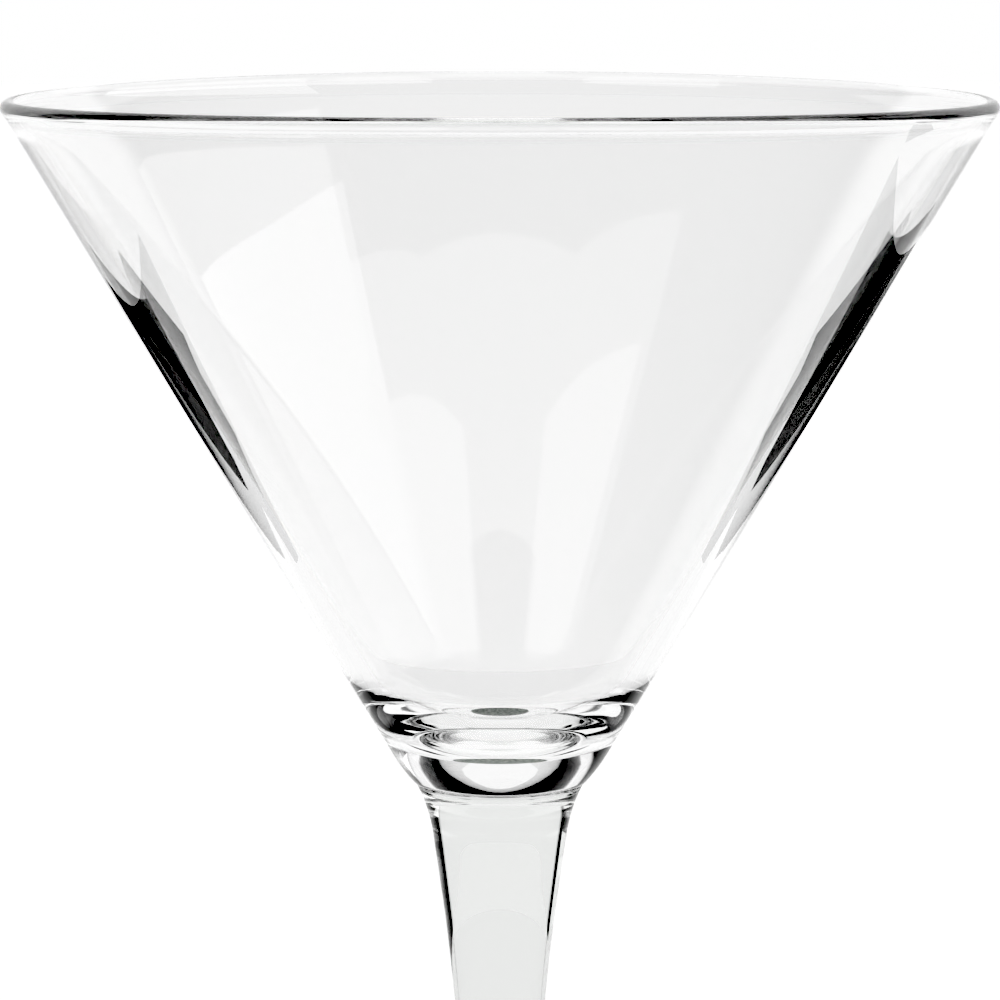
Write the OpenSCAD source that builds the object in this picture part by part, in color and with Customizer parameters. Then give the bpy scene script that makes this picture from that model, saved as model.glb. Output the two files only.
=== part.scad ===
// Martini glass: a blown conical bowl, a drawn solid stem and a spun foot, hot-fused end to end.
// Millimetres, +Z up. Z = 0 is the plane the foot rests on, and the Z axis runs up the stem.

/* [Part] */
// Sub-part to draw
// Height of the whole glass
glass_h = 180; // [176:1:190]

/* [Bowl] */
// Outside diameter of the drinking rim
rim_d = 115; // [112:1:118]
// Height of the bowl, from the fused joint to the top of the lip
bowl_h = 80.6; // [79:0.1:82]
// Lean of the outside wall from upright
wall_lean = 30.6; // [30:0.1:31.2]
// Wall thickness just under the lip
wall_lip = 1.7; // [1.3:0.1:1.8]
// Wall thickness where the cone meets the floor
wall_low = 3; // [2.4:0.1:3.4]
// Diameter of the fire-polished bead along the lip
bead_d = 1.9; // [1.8:0.1:2.4]
// Radius that swells the wall into the bead
bead_blend_r = 30; // [15:1:45]
// Solid glass under the middle of the floor
floor_t = 6; // [5.5:0.5:8]
// Radius that rounds the floor into the wall
floor_r = 17; // [12:0.5:17]
// Radius that tucks the outside in above the joint
tuck_r = 19; // [14:0.5:24]
// Lean of the outside where it reaches the joint
tuck_lean = 45; // [38:1:50]

/* [Stem] */
// Lean of the stem's head just under the joint
head_lean = 27; // [22:1:32]
// Radius of the hollow curve that draws the head down
head_r = 19; // [14:0.5:24]
// Lean of the straight taper below the head
taper_lean = 8.2; // [7.6:0.1:8.6]
// Height of the straight taper
taper_h = 7; // [5:0.5:9]
// Radius of the long hollow curve of the waist
waist_r = 239; // [220:1:250]
// Radius of the long flare toward the foot
flare_r = 150; // [130:1:170]
// Lean of the stem where the tight flare begins
flare_lean = 9; // [7:0.5:11]
// Radius of the tight flare that spreads onto the foot
spread_r = 8; // [6:0.5:10]
// Lean of the stem where it reaches the foot
spread_lean = 56; // [50:1:60]

/* [Foot] */
// Outside diameter of the foot
foot_d = 78; // [72:1:84]
// Height of the foot at its joint with the stem
hub_h = 6.6; // [6.4:0.1:8]
// Thickness of the foot's rounded edge
edge_t = 2.4; // [2:0.1:2.8]
// Slope of the foot's top, down toward the edge
top_slope = 4.2; // [3:0.1:5]
// Inside diameter of the flat ring the foot rests on
rest_in_d = 69; // [56:0.5:69]
// Height of the hollow under the middle of the foot
kick_h = 1.5; // [0.8:0.1:2.2]

/* [Quality] */
// Facets around each turned surface
facets = 180; // [90:10:360]

/* [Hidden] */
$fn = facets;
arc_n = 16;
clear_glass = [0.86, 0.91, 0.90, 0.45];

// Points of an arc about c, from angle a0 to a1.
function arc(c, r, a0, a1) =
    [for (i = [0 : arc_n]) let (a = a0 + (a1 - a0) * i / arc_n) c + r * [cos(a), sin(a)]];
function tail(v) = [for (i = [1 : len(v) - 1]) v[i]];
function last(v) = v[len(v) - 1];
function from_axis(c, r, a) = c + r * [cos(a), sin(a)];

// Bowl, measured up from the joint.
bead_r = bead_d / 2;
wall_up = [sin(wall_lean), cos(wall_lean)];
wall_out = [cos(wall_lean), -sin(wall_lean)];
bead_c = [rim_d / 2 - bead_r, bowl_h - bead_r];
blend_off = bead_blend_r + wall_lip / 2;
blend_run = sqrt(pow(bead_blend_r + bead_r, 2) - pow(blend_off, 2));
blend_a = atan(blend_run / blend_off);
blend_out_c = bead_c + wall_out * blend_off - wall_up * blend_run;
blend_in_c = bead_c - wall_out * blend_off - wall_up * blend_run;

// The tuck starts where the wall still has this far to fall to the joint.
tuck_fall = tuck_r * (sin(tuck_lean) - sin(wall_lean));
wall_foot = bead_c + wall_out * wall_lip / 2;
tuck_top = [wall_foot[0] - (wall_foot[1] - tuck_fall) * tan(wall_lean), tuck_fall];
tuck_c = tuck_top - tuck_r * wall_out;
tuck_pts = arc(tuck_c, tuck_r, -tuck_lean, -wall_lean);
joint_r = tuck_pts[0][0];

// The inside wall leans a little more, so the glass thickens toward the floor.
wall_len = (bowl_h - floor_t) / cos(wall_lean);
inner_lean = wall_lean + asin((wall_low - wall_lip) / wall_len);
inner_top = from_axis(blend_in_c, bead_blend_r, -wall_lean);
floor_cz = floor_t + floor_r;
floor_cx = inner_top[0] + ((floor_cz - inner_top[1]) * sin(inner_lean) - floor_r) / cos(inner_lean);
floor_c = [max(floor_cx, 0.2), floor_cz];

bowl_profile = concat(
    [[0, 0]],
    tuck_pts,
    arc(blend_out_c, bead_blend_r, 180 - wall_lean, 180 - wall_lean - blend_a),
    tail(arc(bead_c, bead_r, -wall_lean - blend_a, 180 - wall_lean + blend_a)),
    tail(arc(blend_in_c, bead_blend_r, blend_a - wall_lean, -wall_lean)),
    arc(floor_c, floor_r, -inner_lean, -90),
    [[0, floor_t]]
);

// Stem, worked down from its head at the joint.
head_fall = head_r * (sin(head_lean) - sin(taper_lean));
waist_fall = waist_r * sin(taper_lean);
flare_fall = flare_r * sin(flare_lean);
spread_fall = spread_r * (sin(spread_lean) - sin(flare_lean));
even_h = max(2, glass_h - bowl_h - hub_h - head_fall - taper_h - waist_fall - flare_fall - spread_fall);
joint_z = hub_h + spread_fall + flare_fall + even_h + waist_fall + taper_h + head_fall;
head_top = [joint_r, joint_z];
head_pts = arc(head_top + head_r * [cos(head_lean), -sin(head_lean)], head_r, 180 - head_lean, 180 - taper_lean);
taper_end = last(head_pts) - taper_h * [tan(taper_lean), 1];
waist_pts = arc(taper_end + waist_r * [cos(taper_lean), -sin(taper_lean)], waist_r, 180 - taper_lean, 180);
even_end = last(waist_pts) - [0, even_h];
flare_pts = arc(even_end + [flare_r, 0], flare_r, 180, 180 + flare_lean);
spread_c = last(flare_pts) + spread_r * [cos(flare_lean), sin(flare_lean)];
spread_pts = arc(spread_c, spread_r, 180 + flare_lean, 180 + spread_lean);
hub = last(spread_pts);

stem_profile = concat([[0, joint_z]], head_pts, waist_pts, flare_pts, tail(spread_pts), [[0, hub[1]]]);

// Foot. Its hub carries on the stem's flare and runs out tangent to the sloping top.
edge_r = edge_t / 2;
edge_c = [foot_d / 2 - edge_r, edge_r];
top_at_axis = edge_r + edge_r / cos(top_slope) + edge_c[0] * tan(top_slope);
run_a = 90 - top_slope;
hub_drop = sin(run_a) - sin(spread_lean) - tan(top_slope) * (cos(spread_lean) - cos(run_a));
hub_r = (hub[1] - top_at_axis + hub[0] * tan(top_slope)) / hub_drop;
hub_c = hub + hub_r * [cos(spread_lean), sin(spread_lean)];
kick_in = rest_in_d / 2;
kick_r = (kick_in * kick_in + kick_h * kick_h) / (2 * kick_h);
kick_a = asin(kick_in / kick_r);

foot_profile = concat(
    [[0, hub[1]]],
    arc(hub_c, hub_r, 180 + spread_lean, 180 + run_a),
    arc(edge_c, edge_r, 90 - top_slope, -90),
    arc([0, kick_h - kick_r], kick_r, 90 - kick_a, 90)
);

// Conical bowl with a swollen lip and a thick solid floor down to the joint.
module bowl() {
    color(clear_glass)
        translate([0, 0, joint_z])
            rotate_extrude() polygon(bowl_profile);
}

// Solid stem, drawn down from a flared head and spread again at its lower end.
module stem() {
    color(clear_glass)
        rotate_extrude() polygon(stem_profile);
}

// Spun disc foot, hollowed a little underneath so it stands on its outer ring.
module foot() {
    color(clear_glass)
        rotate_extrude() polygon(foot_profile);
}

bowl();
stem();
foot();
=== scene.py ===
import math

import bpy
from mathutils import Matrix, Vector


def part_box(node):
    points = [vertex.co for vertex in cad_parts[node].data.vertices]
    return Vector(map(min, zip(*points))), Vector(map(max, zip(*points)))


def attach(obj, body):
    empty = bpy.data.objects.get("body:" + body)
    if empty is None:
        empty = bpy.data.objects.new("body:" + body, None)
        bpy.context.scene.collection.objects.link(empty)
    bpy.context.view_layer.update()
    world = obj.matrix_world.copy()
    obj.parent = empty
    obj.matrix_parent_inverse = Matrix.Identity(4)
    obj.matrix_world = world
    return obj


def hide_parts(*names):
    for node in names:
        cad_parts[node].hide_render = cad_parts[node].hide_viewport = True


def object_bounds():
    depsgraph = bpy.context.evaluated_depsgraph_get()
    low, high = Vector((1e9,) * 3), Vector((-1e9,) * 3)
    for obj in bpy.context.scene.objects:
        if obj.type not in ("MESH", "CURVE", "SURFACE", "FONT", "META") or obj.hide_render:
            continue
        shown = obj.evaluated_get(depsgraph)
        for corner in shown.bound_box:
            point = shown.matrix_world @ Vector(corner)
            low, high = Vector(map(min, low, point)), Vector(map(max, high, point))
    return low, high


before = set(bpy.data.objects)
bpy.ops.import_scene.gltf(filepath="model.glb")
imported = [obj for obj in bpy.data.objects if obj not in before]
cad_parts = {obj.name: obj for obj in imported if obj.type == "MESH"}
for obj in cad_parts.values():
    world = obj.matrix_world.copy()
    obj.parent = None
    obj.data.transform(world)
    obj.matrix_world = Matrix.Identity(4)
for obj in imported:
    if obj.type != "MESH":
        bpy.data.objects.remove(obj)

# The glass is blown, drawn and spun from clear soda-lime glass, and its three gathers are fused while hot.
# Lengths here are millimetres, +Z up, as in the CAD. MM turns them to metres where a mesh is made.
MM = 0.001

cad_low, cad_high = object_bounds()
GLASS_H = cad_high.z / MM
RIM_D = (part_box("bowl")[1].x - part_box("bowl")[0].x) / MM
FOOT_D = (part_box("foot")[1].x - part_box("foot")[0].x) / MM
JOINT_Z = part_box("bowl")[0].z / MM
HUB_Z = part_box("foot")[1].z / MM
BOWL_H = GLASS_H - JOINT_Z

# Bowl: a cone with a swollen lip, a round floor, and a tuck down to the joint.
# Leans are degrees from upright.
WALL_LEAN = 30.6
WALL_LIP = 1.7
WALL_LOW = 3
BEAD_R = 0.95
BEAD_BLEND_R = 30
FLOOR_T = 6
FLOOR_R = 17
TUCK_R = 19
TUCK_LEAN = 45

# Stem: a head drawn down to a waist, and a flare onto the foot.
HEAD_LEAN = 27
HEAD_R = 19
TAPER_LEAN = 8.2
TAPER_H = 7
WAIST_R = 239
FLARE_R = 150
FLARE_LEAN = 9
SPREAD_R = 8
SPREAD_LEAN = 56

# Foot: a spun disc with a rounded edge, hollowed underneath.
EDGE_R = 1.2
TOP_SLOPE = 4.2
REST_IN_R = 34.5
KICK_H = 1.5

# What hand work leaves: the lip is a slight saddle, and the walls roll a little.
LIP_SADDLE = 0.31
LIP_SADDLE_DEPTH = 55
ROLL_SIZE = 26
ROLL_HEIGHT = 0.05

# The stippled spot in the middle of the floor, where the bowl was held, and the size of its grains.
SPOT_R = 3.75
SPOT_GRAIN = 0.385

# How a turned wall is divided: steps round the axis, the most between two rings, and degrees along an arc.
TURNS = 288
RING_GAP = 1.6
ARC_STEP = 3.0
BEAD_ARC_STEP = 6.0
# Two fused faces lie this far apart, too little to see, so that a light path meets both of them in order.
JOINT_GAP = 0.004

# The studio. Distances are metres, and angles are degrees seen from the middle of the bowl.
TABLE_HALF = 4.5
TABLE_GLOW = 0.92
WALL_DISTANCE = 4.0
WALL_HEIGHTS = (-0.01, 2.5)
CARD_DISTANCE = 1.0
# The white sweep is full to the first angle and gone by the second, to either side and upward.
SWEEP_SIDE = (47, 54)
SWEEP_TOP = (55, 60)
ROOM_DARK = 0.02
# Radiance under this is shown as black, as in a hard, contrasty print.
BLACK_LEVEL = 0.19
# Light trapped along the lip turns many times before it gets out, and shows black if it is cut short.
BOUNCES = 96
CLEAR_BOUNCES = 32

# The camera, straight in front: millimetres of lens and film, and metres from the axis and above the table.
LENS = 186.8
FILM_W = 36
EYE_BACK = 0.6
EYE_HEIGHT = 0.20866
LOOK_DOWN = 7.198


# ---------------------------------------------------------------- outlines

def arc(centre, radius, start, end, step=ARC_STEP):
    """Points of an arc in the (r, z) plane. A step turns at most that many degrees, or covers RING_GAP."""
    sweep = math.radians(end - start)
    count = max(3, math.ceil(max(abs(end - start) / step, abs(sweep) * radius / RING_GAP)))
    turned = [math.radians(start) + sweep * i / count for i in range(count + 1)]
    return [(centre[0] + radius * math.cos(t), centre[1] + radius * math.sin(t)) for t in turned]


def line(start, end):
    """Points along a straight line, no further apart than RING_GAP, without its two ends."""
    count = max(1, math.ceil(math.dist(start, end) / RING_GAP))
    shares = [i / count for i in range(1, count)]
    return [tuple(a + (b - a) * s for a, b in zip(start, end)) for s in shares]


def joined(*stretches):
    """One outline from arcs and single points, with a straight line wherever two of them don't meet."""
    outline = list(stretches[0])
    for stretch in stretches[1:]:
        if math.dist(outline[-1], stretch[0]) > RING_GAP:
            outline += line(outline[-1], stretch[0])
        outline += [p for p in stretch if math.dist(p, outline[-1]) > 1e-6]
    return outline


def sin_deg(angle):
    return math.sin(math.radians(angle))


def cos_deg(angle):
    return math.cos(math.radians(angle))


def tan_deg(angle):
    return math.tan(math.radians(angle))


def tuck():
    """The arc that closes the outside of the bowl down to the joint, measured up from the joint."""
    fall = TUCK_R * (sin_deg(TUCK_LEAN) - sin_deg(WALL_LEAN))
    foot_r = RIM_D / 2 - BEAD_R + cos_deg(WALL_LEAN) * WALL_LIP / 2
    foot_z = BOWL_H - BEAD_R - sin_deg(WALL_LEAN) * WALL_LIP / 2
    top_r = foot_r - (foot_z - fall) * tan_deg(WALL_LEAN)
    centre = (top_r - TUCK_R * cos_deg(WALL_LEAN), fall + TUCK_R * sin_deg(WALL_LEAN))
    return arc(centre, TUCK_R, -TUCK_LEAN, -WALL_LEAN)


def bowl_outline():
    """The bowl's section from the middle of the joint, up the outside, over the lip and down to the floor."""
    up = (sin_deg(WALL_LEAN), cos_deg(WALL_LEAN))
    out = (cos_deg(WALL_LEAN), -sin_deg(WALL_LEAN))
    bead = (RIM_D / 2 - BEAD_R, BOWL_H - BEAD_R)
    off = BEAD_BLEND_R + WALL_LIP / 2
    run = math.sqrt((BEAD_BLEND_R + BEAD_R) ** 2 - off ** 2)
    turn = math.degrees(math.atan(run / off))
    outer = (bead[0] + out[0] * off - up[0] * run, bead[1] + out[1] * off - up[1] * run)
    inner = (bead[0] - out[0] * off - up[0] * run, bead[1] - out[1] * off - up[1] * run)
    thickening = (WALL_LOW - WALL_LIP) * cos_deg(WALL_LEAN) / (BOWL_H - FLOOR_T)
    lean = WALL_LEAN + math.degrees(math.asin(thickening))
    top = (inner[0] + BEAD_BLEND_R * cos_deg(WALL_LEAN), inner[1] - BEAD_BLEND_R * sin_deg(WALL_LEAN))
    floor_z = FLOOR_T + FLOOR_R
    floor_r = max(top[0] + ((floor_z - top[1]) * sin_deg(lean) - FLOOR_R) / cos_deg(lean), 0.2)
    section = joined(
        [(0, JOINT_GAP / 2)],
        [(r, z + JOINT_GAP / 2) for r, z in tuck()[:1]] + tuck()[1:],
        arc(outer, BEAD_BLEND_R, 180 - WALL_LEAN, 180 - WALL_LEAN - turn),
        arc(bead, BEAD_R, -WALL_LEAN - turn, 180 - WALL_LEAN + turn, BEAD_ARC_STEP),
        arc(inner, BEAD_BLEND_R, turn - WALL_LEAN, -WALL_LEAN),
        arc((floor_r, floor_z), FLOOR_R, -lean, -90),
        [(0, FLOOR_T)],
    )
    return [(r, z + JOINT_Z) for r, z in section]


def stem_outline():
    """The stem's section from the middle of its head, down the outside to the middle of its lower joint."""
    head = (tuck()[0][0], JOINT_Z)
    head_c = (head[0] + HEAD_R * cos_deg(HEAD_LEAN), head[1] - HEAD_R * sin_deg(HEAD_LEAN))
    head_arc = arc(head_c, HEAD_R, 180 - HEAD_LEAN, 180 - TAPER_LEAN)
    taper_end = (head_arc[-1][0] - TAPER_H * tan_deg(TAPER_LEAN), head_arc[-1][1] - TAPER_H)
    waist_c = (taper_end[0] + WAIST_R * cos_deg(TAPER_LEAN), taper_end[1] - WAIST_R * sin_deg(TAPER_LEAN))
    waist_arc = arc(waist_c, WAIST_R, 180 - TAPER_LEAN, 180)
    spread_fall = SPREAD_R * (sin_deg(SPREAD_LEAN) - sin_deg(FLARE_LEAN))
    flare_top = HUB_Z + spread_fall + FLARE_R * sin_deg(FLARE_LEAN)
    flare_arc = arc((waist_arc[-1][0] + FLARE_R, flare_top), FLARE_R, 180, 180 + FLARE_LEAN)
    spread_c = (
        flare_arc[-1][0] + SPREAD_R * cos_deg(FLARE_LEAN),
        flare_arc[-1][1] + SPREAD_R * sin_deg(FLARE_LEAN),
    )
    spread_arc = arc(spread_c, SPREAD_R, 180 + FLARE_LEAN, 180 + SPREAD_LEAN)
    top = JOINT_Z - JOINT_GAP / 2
    low = HUB_Z + JOINT_GAP / 2
    return joined(
        [(0, top)],
        [(head_arc[0][0], top)] + head_arc[1:],
        waist_arc,
        flare_arc,
        spread_arc[:-1] + [(spread_arc[-1][0], low)],
        [(0, low)],
    )


def foot_outline():
    """The foot's section from the middle of its joint, over the top to the edge and in under the hollow."""
    hub_r = max(r for r, z in stem_outline() if abs(z - HUB_Z) < JOINT_GAP)
    edge_c = (FOOT_D / 2 - EDGE_R, EDGE_R)
    top_at_axis = EDGE_R + EDGE_R / cos_deg(TOP_SLOPE) + edge_c[0] * tan_deg(TOP_SLOPE)
    run = 90 - TOP_SLOPE
    drop = sin_deg(run) - sin_deg(SPREAD_LEAN) - tan_deg(TOP_SLOPE) * (cos_deg(SPREAD_LEAN) - cos_deg(run))
    run_r = (HUB_Z - top_at_axis + hub_r * tan_deg(TOP_SLOPE)) / drop
    run_c = (hub_r + run_r * cos_deg(SPREAD_LEAN), HUB_Z + run_r * sin_deg(SPREAD_LEAN))
    kick_r = (REST_IN_R ** 2 + KICK_H ** 2) / (2 * KICK_H)
    kick_a = math.degrees(math.asin(REST_IN_R / kick_r))
    return joined(
        [(0, HUB_Z - JOINT_GAP / 2)],
        [(hub_r, HUB_Z - JOINT_GAP / 2)] + arc(run_c, run_r, 180 + SPREAD_LEAN, 180 + run)[1:],
        arc(edge_c, EDGE_R, 90 - TOP_SLOPE, -90, BEAD_ARC_STEP),
        arc((0, KICK_H - kick_r), kick_r, 90 - kick_a, 90),
    )


# ---------------------------------------------------------------- node trees

def add(tree, kind, inputs=None, **settings):
    """Adds a node with its settings, and sets each input to a value or links it to a socket."""
    made = tree.nodes.new(kind)
    for name, value in settings.items():
        setattr(made, name, value)
    for key, value in (inputs or {}).items():
        if isinstance(value, bpy.types.NodeSocket):
            tree.links.new(value, made.inputs[key])
        else:
            made.inputs[key].default_value = value
    return made


def maths(tree, operation, *values):
    """The result of one sum on numbers or sockets."""
    return add(tree, "ShaderNodeMath", dict(enumerate(values)), operation=operation).outputs[0]


def turning_tree():
    """Geometry nodes that turn an outline into a closed wall, as a lathe or a spinning blowpipe does."""
    tree = bpy.data.node_groups.new("turned_wall", "GeometryNodeTree")
    face = tree.interface
    face.new_socket("Outline", in_out="INPUT", socket_type="NodeSocketGeometry")
    sizes = dict.fromkeys(("Points", "Turns"), "Int")
    lengths = ("Saddle", "Saddle Foot", "Saddle Top", "Roll Height", "Roll Size", "Roll Seed")
    sizes.update(dict.fromkeys(lengths, "Float"))
    for name, kind in sizes.items():
        face.new_socket(name, in_out="INPUT", socket_type="NodeSocket" + kind)
    face.new_socket("Glass", in_out="INPUT", socket_type="NodeSocketMaterial")
    face.new_socket("Wall", in_out="OUTPUT", socket_type="NodeSocketGeometry")
    given = add(tree, "NodeGroupInput").outputs

    columns = maths(tree, "SUBTRACT", given["Points"], 1)
    rows = maths(tree, "ADD", given["Turns"], 1)
    grid = add(tree, "GeometryNodeMeshGrid", {
        "Size X": columns, "Size Y": given["Turns"], "Vertices X": given["Points"], "Vertices Y": rows})
    place = add(tree, "ShaderNodeSeparateXYZ", {0: add(tree, "GeometryNodeInputPosition").outputs[0]}).outputs
    half = maths(tree, "MULTIPLY", columns, 0.5)
    index = maths(tree, "ROUND", maths(tree, "ADD", place["X"], half))
    share = maths(tree, "ADD", maths(tree, "DIVIDE", place["Y"], given["Turns"]), 0.5)
    angle = maths(tree, "MULTIPLY", share, 2 * math.pi)

    ring = add(tree, "GeometryNodeSampleIndex", {
        "Geometry": given["Outline"], "Value": add(tree, "GeometryNodeInputPosition").outputs[0],
        "Index": index}, data_type="FLOAT_VECTOR", domain="POINT")
    section = add(tree, "ShaderNodeSeparateXYZ", {0: ring.outputs[0]}).outputs
    round_place = add(tree, "ShaderNodeCombineXYZ", {
        "X": maths(tree, "MULTIPLY", section["X"], maths(tree, "COSINE", angle)),
        "Y": maths(tree, "MULTIPLY", section["X"], maths(tree, "SINE", angle)),
        "Z": section["Z"]}).outputs[0]

    # The lip dips at the two sides and rises front and back, and the dip fades out down the wall.
    fade = add(tree, "ShaderNodeMapRange", {
        "Value": section["Z"], "From Min": given["Saddle Foot"], "From Max": given["Saddle Top"]},
        interpolation_type="SMOOTHSTEP").outputs[0]
    wave = maths(tree, "MULTIPLY", maths(tree, "COSINE", maths(tree, "MULTIPLY", angle, 2)), -1)
    lift = maths(tree, "MULTIPLY", maths(tree, "MULTIPLY", wave, fade), given["Saddle"])
    # The walls roll by a few hundredths of a millimetre, and the roll fades out down the wall too.
    scale = maths(tree, "DIVIDE", 1, given["Roll Size"])
    noise = add(tree, "ShaderNodeTexNoise", {
        "Vector": round_place, "W": given["Roll Seed"], "Scale": scale, "Detail": 1.0, "Roughness": 0.4},
        noise_dimensions="4D").outputs[0]
    roll = maths(tree, "MULTIPLY", maths(tree, "SUBTRACT", noise, 0.5), given["Roll Height"])
    roll_fade = maths(tree, "MULTIPLY", roll, fade)
    outward = add(tree, "ShaderNodeCombineXYZ", {
        "X": maths(tree, "MULTIPLY", maths(tree, "COSINE", angle), roll_fade),
        "Y": maths(tree, "MULTIPLY", maths(tree, "SINE", angle), roll_fade),
        "Z": lift}).outputs[0]
    moved = add(tree, "GeometryNodeSetPosition", {
        "Geometry": grid.outputs["Mesh"], "Position": round_place, "Offset": outward})
    closed = add(tree, "GeometryNodeMergeByDistance", {"Geometry": moved.outputs[0], "Distance": 1e-7})
    smooth = add(tree, "GeometryNodeSetShadeSmooth", {"Geometry": closed.outputs[0]})
    real = add(tree, "GeometryNodeRealizeInstances", {"Geometry": smooth.outputs[0]})
    finished = add(tree, "GeometryNodeSetMaterial", {"Geometry": real.outputs[0], "Material": given["Glass"]})
    add(tree, "NodeGroupOutput", {"Wall": finished.outputs[0]})
    return tree


def turn(name, outline, tree, glass, saddle=0.0, seed=0.0):
    """A piece turned from its outline, as a plain closed mesh with its faces outward."""
    points = [(r * MM, 0, z * MM) for r, z in outline]
    drawn = bpy.data.meshes.new(name + "_outline")
    drawn.from_pydata(points, [(i, i + 1) for i in range(len(points) - 1)], [])
    pattern = bpy.data.objects.new(name + "_outline", drawn)
    bpy.context.scene.collection.objects.link(pattern)
    worker = pattern.modifiers.new("turning", "NODES")
    worker.node_group = tree
    values = {
        "Points": len(points),
        "Turns": TURNS,
        "Saddle": saddle * MM,
        "Saddle Foot": (GLASS_H - LIP_SADDLE_DEPTH) * MM,
        "Saddle Top": GLASS_H * MM,
        "Roll Height": ROLL_HEIGHT * MM if saddle else 0.0,
        "Roll Size": ROLL_SIZE * MM,
        "Roll Seed": seed,
        "Glass": glass,
    }
    for socket in tree.interface.items_tree:
        if socket.name in values:
            worker[socket.identifier] = values[socket.name]
    seen = pattern.evaluated_get(bpy.context.evaluated_depsgraph_get())
    mesh = bpy.data.meshes.new_from_object(seen)
    mesh.name = name
    bpy.data.objects.remove(pattern)
    if volume(mesh) < 0:
        mesh.flip_normals()
    piece = bpy.data.objects.new(name, mesh)
    bpy.context.scene.collection.objects.link(piece)
    return piece


def volume(mesh):
    """Six times the volume that the mesh encloses, below zero where its faces point inward."""
    total = 0.0
    for face in mesh.polygons:
        corners = [mesh.vertices[i].co for i in face.vertices]
        for a, b in zip(corners[1:], corners[2:]):
            total += corners[0].dot(a.cross(b))
    return total


def dress_faces(piece, material, chosen, flat=False):
    """Gives the faces that chosen picks, by their middle and facing, another finish."""
    piece.data.materials.append(material)
    slot = len(piece.data.materials) - 1
    for face in piece.data.polygons:
        if chosen(face.center, face.normal):
            face.material_index = slot
            face.use_smooth = not flat


# ---------------------------------------------------------------- materials

def linear(hex_colour):
    """An sRGB hex colour as linear RGBA."""
    shares = [int(hex_colour[i:i + 2], 16) / 255 for i in (1, 3, 5)]
    return [c / 12.92 if c <= 0.04045 else ((c + 0.055) / 1.055) ** 2.4 for c in shares] + [1.0]


def new_material(name):
    """An empty node material: its tree and its output node."""
    material = bpy.data.materials.new(name)
    material.use_nodes = True
    material.node_tree.nodes.clear()
    return material, material.node_tree


def clear_glass(name, tint):
    """Soda-lime glass, its surface left as it froze from the melt, with no tool marks: the eye gets sharp
    images of the room through it and in it. The tint is chosen, a little darker for solid pieces."""
    material, tree = new_material(name)
    shader = add(tree, "ShaderNodeBsdfPrincipled", {
        "Base Color": linear(tint), "Roughness": 0.0, "IOR": 1.52, "Transmission Weight": 1.0})
    add(tree, "ShaderNodeOutputMaterial", {"Surface": shader.outputs[0]})
    return material


def fused_joint():
    """Not a surface. Two gathers of soda-lime glass fused hot run into each other, so light passes the
    joint unbent and the eye sees nothing there."""
    material, tree = new_material("fused_glass_joint")
    through = add(tree, "ShaderNodeBsdfTransparent", {"Color": (1, 1, 1, 1)})
    add(tree, "ShaderNodeOutputMaterial", {"Surface": through.outputs[0]})
    return material


def stippled_spot():
    """Soda-lime glass, pressed rough by the tool that held it: the eye gets a dull grey-green grain, with
    paler glass between the grains."""
    material, tree = new_material("stippled_glass")
    place = add(tree, "ShaderNodeTexCoord").outputs["Object"]
    grain = add(tree, "ShaderNodeTexNoise", {
        "Vector": place, "Scale": 1 / (SPOT_GRAIN * MM), "Detail": 2.0}).outputs[0]
    ramp = add(tree, "ShaderNodeMapRange", {"Value": grain, "From Min": 0.42, "From Max": 0.58})
    colour = add(tree, "ShaderNodeValToRGB", {"Fac": ramp.outputs[0]})
    for stop, tone in zip(colour.color_ramp.elements, ("#7c867f", "#c6cec7")):
        stop.color = linear(tone)
    bump = add(tree, "ShaderNodeBump", {"Height": grain, "Strength": 0.5, "Distance": 0.2 * MM})
    shader = add(tree, "ShaderNodeBsdfPrincipled", {
        "Base Color": colour.outputs["Color"], "Roughness": 0.6, "IOR": 1.52,
        "Transmission Weight": 0.3, "Normal": bump.outputs[0]})
    add(tree, "ShaderNodeOutputMaterial", {"Surface": shader.outputs[0]})
    return material


def glow(name, radiance):
    """White cloth lit from behind, or black card at a radiance of zero: the eye gets an even patch."""
    material, tree = new_material(name)
    light = add(tree, "ShaderNodeEmission", {"Color": linear("#ffffff"), "Strength": radiance})
    add(tree, "ShaderNodeOutputMaterial", {"Surface": light.outputs[0]})
    return material


def pale_floor():
    """Matt white laminate, pressed flat. It mostly shines by itself, as an overexposed table looks, so the
    eye gets an even white with only a faint shadow under the foot."""
    material, tree = new_material("pale_floor")
    matt = add(tree, "ShaderNodeBsdfDiffuse", {"Color": linear("#b4b4b4")})
    light = add(tree, "ShaderNodeEmission", {"Color": linear("#ffffff"), "Strength": TABLE_GLOW})
    both = add(tree, "ShaderNodeAddShader", {0: matt.outputs[0], 1: light.outputs[0]})
    add(tree, "ShaderNodeOutputMaterial", {"Surface": both.outputs[0]})
    return material


# ---------------------------------------------------------------- the studio

def stage_mesh(name, corners, faces, material, seen_by):
    """A studio piece, and the kinds of light path that meet it."""
    mesh = bpy.data.meshes.new(name)
    mesh.from_pydata(corners, [], faces)
    mesh.materials.append(material)
    made = bpy.data.objects.new(name, mesh)
    bpy.context.scene.collection.objects.link(made)
    for kind in ("camera", "glossy", "transmission", "diffuse", "shadow"):
        setattr(made, "visible_" + kind, kind in seen_by)
    return made


def aim(azimuth, elevation, distance):
    """A point seen from the middle of the bowl. Azimuth 0 is straight behind the glass, 90 to its right."""
    flat = distance * cos_deg(elevation)
    middle = (JOINT_Z + BOWL_H / 2) * MM
    return (flat * sin_deg(azimuth), flat * cos_deg(azimuth), middle + distance * sin_deg(elevation))


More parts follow.
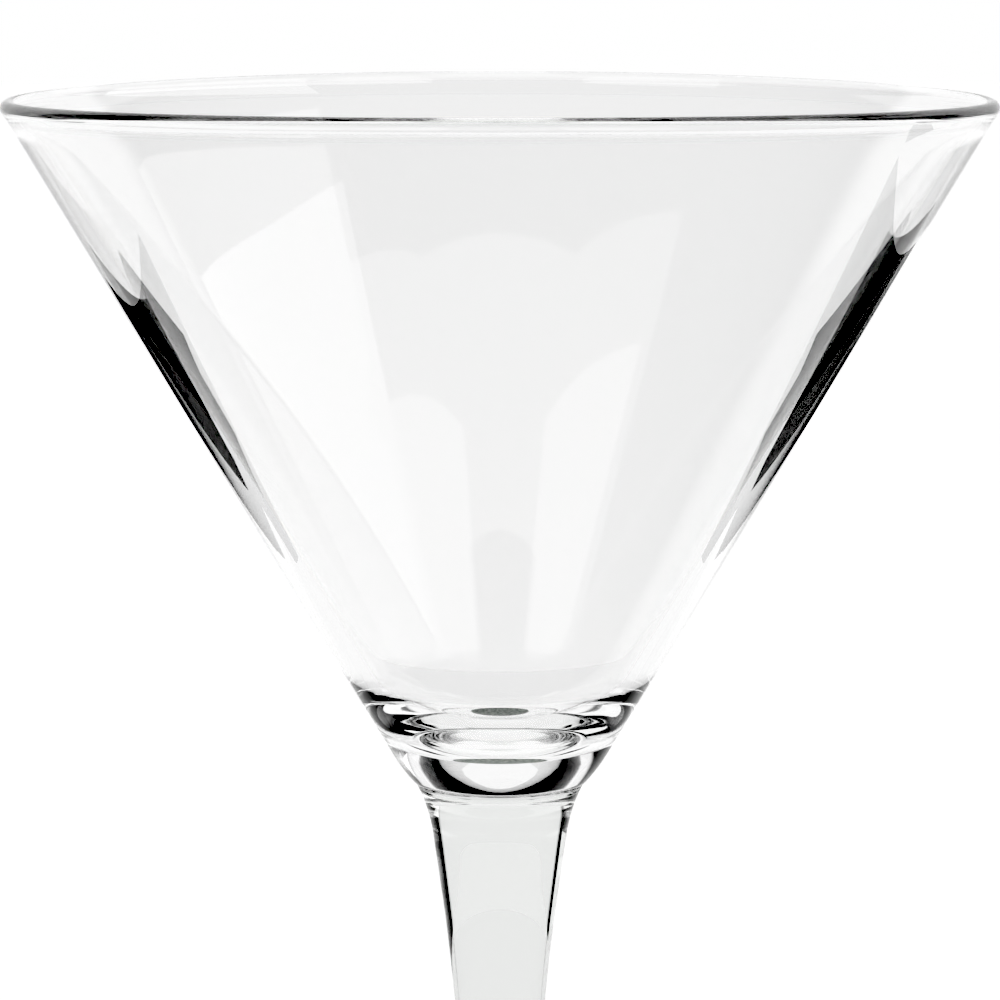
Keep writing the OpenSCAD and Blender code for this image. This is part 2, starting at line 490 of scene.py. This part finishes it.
def card(name, azimuths, lows, highs, rise, radiance):
    """A softbox between two azimuths, with its lowest and highest elevation at each, and a bowed top."""
    steps = 16
    shares = [i / steps for i in range(steps + 1)]
    corners = []
    for ends, bow in ((lows, 0.0), (highs, rise)):
        for s in shares:
            turn_to = azimuths[0] + (azimuths[1] - azimuths[0]) * s
            lift = bow * 4 * s * (1 - s)
            corners.append(aim(turn_to, ends[0] + (ends[1] - ends[0]) * s + lift, CARD_DISTANCE))
    faces = [(i, i + 1, i + steps + 2, i + steps + 1) for i in range(steps)]
    return stage_mesh(name, corners, faces, glow(name, radiance), ("glossy", "transmission", "diffuse"))


def table_card(name, corners, radiance, seen_by=("glossy", "transmission")):
    """A flat card on the table, its corners in millimetres, which only light from the glass meets."""
    above_table = 0.6 * MM
    flat = [(x * MM, y * MM, above_table) for x, y in corners]
    return stage_mesh(name, flat, [tuple(range(len(flat)))], glow(name, radiance), seen_by)


def studio_world():
    """The room: a white sweep behind the glass, and dark elsewhere."""
    world = bpy.data.worlds.new("studio")
    bpy.context.scene.world = world
    world.use_nodes = True
    tree = world.node_tree
    tree.nodes.clear()
    look = add(tree, "ShaderNodeSeparateXYZ", {
        0: add(tree, "ShaderNodeTexCoord").outputs["Generated"]}).outputs
    flat = maths(tree, "SQRT", maths(tree, "SUBTRACT", 1.0, maths(tree, "MULTIPLY", look["Z"], look["Z"])))
    behind = maths(tree, "DIVIDE", look["Y"], maths(tree, "MAXIMUM", flat, 1e-4))
    sweep = add(tree, "ShaderNodeMapRange", {
        "Value": behind, "From Min": cos_deg(SWEEP_SIDE[1]), "From Max": cos_deg(SWEEP_SIDE[0])},
        interpolation_type="SMOOTHSTEP").outputs[0]
    below = add(tree, "ShaderNodeMapRange", {
        "Value": look["Z"], "From Min": sin_deg(SWEEP_TOP[1]), "From Max": sin_deg(SWEEP_TOP[0])},
        interpolation_type="SMOOTHSTEP").outputs[0]
    white = maths(tree, "MULTIPLY", sweep, below)
    strength = maths(tree, "ADD", maths(tree, "MULTIPLY", white, 1 - ROOM_DARK), ROOM_DARK)
    light = add(tree, "ShaderNodeBackground", {"Color": (1, 1, 1, 1), "Strength": strength})
    add(tree, "ShaderNodeOutputWorld", {"Surface": light.outputs[0]})


def ring_wall(name, radius, heights, radiance, seen_by, azimuths=(0, 360)):
    """An upright wall round the glass between two azimuths."""
    steps = 48
    turns = [azimuths[0] + (azimuths[1] - azimuths[0]) * i / steps for i in range(steps + 1)]
    ring = [(radius * sin_deg(a), radius * cos_deg(a)) for a in turns]
    corners = [(x, y, z) for z in heights for x, y in ring]
    faces = [(i, i + 1, i + steps + 2, i + steps + 1) for i in range(steps)]
    stage_mesh(name, corners, faces, glow(name, radiance), seen_by)


def table():
    """The table top, which every kind of light path meets."""
    edge = TABLE_HALF
    corners = [(-edge, -edge, 0), (edge, -edge, 0), (edge, edge, 0), (-edge, edge, 0)]
    everything = ("camera", "glossy", "transmission", "diffuse", "shadow")
    stage_mesh("table", corners, [(0, 1, 2, 3)], pale_floor(), everything)


def softboxes():
    """Three softboxes. Each has its azimuths, its lowest and highest elevations, its bow and its radiance."""
    card("right_softbox", (50, 116), (14, 40), (28, 54.5), 2.4, 1.35)
    card("front_right_softbox", (112, 157), (38, 44), (49, 56), 1.4, 0.95)
    card("front_left_softbox", (-152, -108), (44, 38), (55.7, 49.2), 1.2, 0.95)


def glass_only_cards():
    """White cards that only light through or off the glass meets. No real studio could hide them so."""
    through_glass = ("glossy", "transmission")
    ring_wall("low_left_wall", 3.9, (0, 0.55), 1.0, through_glass, (-125, -58))
    # A low screen keeps the mats behind it out of the stem.
    ring_wall("low_screen", 0.12, (0.0005, 0.078), 1.0, through_glass, (-50, 50))
    # A small card over the front of the lip keeps the lip's line thin.
    height, half, front, back = 0.23, 0.07, -0.056, -0.004
    corners = [(-half, front, height), (half, front, height), (half, back, height), (-half, back, height)]
    stage_mesh("lip_card", corners, [(0, 1, 2, 3)], glow("lip_card", 1.0), ("transmission",))


def dark_mats():
    """Two long black mats behind the glass, either side, which draw the dark flanks of the cone."""
    for name, side, outer in (("left", -1, 228), ("right", 1, 250)):
        seen = [(176, 272), (outer, 272), (outer, 750), (183, 750), (178, 620), (164, 520), (164, 300)]
        mirrored = [(165, 140), (outer + 24, 140), (outer + 24, 860), (165, 860)]
        table_card(name + "_mat", [(side * x, y) for x, y in seen], 0.0)
        table_card(name + "_shine_mat", [(side * x, y) for x, y in mirrored], 0.0, ("glossy",))


def studio():
    """The table, the sweep, the softboxes and the cards that draw the glass's edges."""
    table()
    studio_world()
    ring_wall("wall", WALL_DISTANCE, WALL_HEIGHTS, 1.0, ("camera",))
    softboxes()
    glass_only_cards()
    dark_mats()


def camera():
    """A long lens, a little above the lip, looking down into the bowl's floor."""
    data = bpy.data.cameras.new("camera")
    data.lens = LENS
    data.sensor_width = FILM_W
    eye = bpy.data.objects.new("camera", data)
    eye.location = (0, -EYE_BACK, EYE_HEIGHT)
    eye.rotation_euler = (math.radians(90 - LOOK_DOWN), 0, 0)
    bpy.context.scene.collection.objects.link(eye)
    bpy.context.scene.camera = eye


# ---------------------------------------------------------------- the glass

def make_glass():
    """The three pieces, each standing for its CAD node."""
    tree = turning_tree()
    joint = fused_joint()
    wall = clear_glass("blown_soda_lime_glass", "#fafafa")
    solid = clear_glass("drawn_soda_lime_glass", "#f0f1f0")
    bowl = turn("blown_bowl", bowl_outline(), tree, wall, saddle=LIP_SADDLE, seed=3.0)
    stem = turn("drawn_stem", stem_outline(), tree, solid)
    foot = turn("spun_foot", foot_outline(), tree, solid)

    def on_joint(middle, facing):
        at_joint = min(abs(middle.z - JOINT_Z * MM), abs(middle.z - HUB_Z * MM)) < JOINT_GAP * MM
        return at_joint and abs(facing.z) > 0.999

    def on_spot(middle, facing):
        return math.hypot(middle.x, middle.y) < SPOT_R * MM and middle.z > (JOINT_Z + 1) * MM

    for piece, node in ((bowl, "bowl"), (stem, "stem"), (foot, "foot")):
        dress_faces(piece, joint, on_joint, flat=True)
        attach(piece, "root")
        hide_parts(node)
    dress_faces(bowl, stippled_spot(), on_spot)


def light_paths():
    """Enough bounces for light in the walls, base and lip, and a view that shows deep greys as black."""
    settings = bpy.context.scene.cycles
    settings.max_bounces = BOUNCES
    settings.transmission_bounces = BOUNCES
    settings.glossy_bounces = BOUNCES
    settings.transparent_max_bounces = CLEAR_BOUNCES
    view = bpy.context.scene.view_settings
    view.view_transform = "Standard"
    view.use_curve_mapping = True
    view.curve_mapping.black_level = (BLACK_LEVEL, BLACK_LEVEL, BLACK_LEVEL)


make_glass()
studio()
camera()
light_paths()
